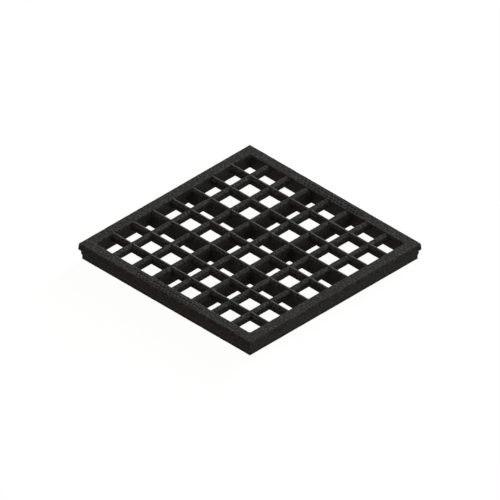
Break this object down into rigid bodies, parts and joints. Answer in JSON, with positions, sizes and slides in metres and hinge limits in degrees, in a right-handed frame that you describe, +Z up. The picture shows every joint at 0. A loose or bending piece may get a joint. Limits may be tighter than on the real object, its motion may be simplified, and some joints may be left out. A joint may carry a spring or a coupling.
{
  "type": "drain grate",
  "caption": "Square cast iron drain grate with a lipped rim and a lattice of crowned bars, two of them deep each way, over square openings.",
  "frame": {"origin": "middle of the foot plane, on which the grate stands", "axes": "+Z up through the openings, X and Y along the rim's sides, -Y to the front"},
  "size_m": [0.3048, 0.3048, 0.0234],
  "materials": {
    "cast_iron": "matt black, sand cast"
  },
  "bodies": {
    "root": {"lip_front": "cast_iron", "lip_right": "cast_iron", "lip_back": "cast_iron", "lip_left": "cast_iron", "skirt_front": "cast_iron", "skirt_right": "cast_iron", "skirt_back": "cast_iron", "skirt_left": "cast_iron", "corner_fillet_front_left": "cast_iron", "corner_fillet_front_right": "cast_iron", "corner_fillet_back_left": "cast_iron", "corner_fillet_back_right": "cast_iron", "main_bar_x_1": "cast_iron", "main_bar_x_2": "cast_iron", "main_bar_y_1": "cast_iron", "main_bar_y_2": "cast_iron", "cross_bar_x_1": "cast_iron", "cross_bar_x_2": "cast_iron", "cross_bar_x_3": "cast_iron", "cross_bar_x_4": "cast_iron", "cross_bar_x_5": "cast_iron", "cross_bar_y_1": "cast_iron", "cross_bar_y_2": "cast_iron", "cross_bar_y_3": "cast_iron", "cross_bar_y_4": "cast_iron", "cross_bar_y_5": "cast_iron"}
  },
  "joints": []
}
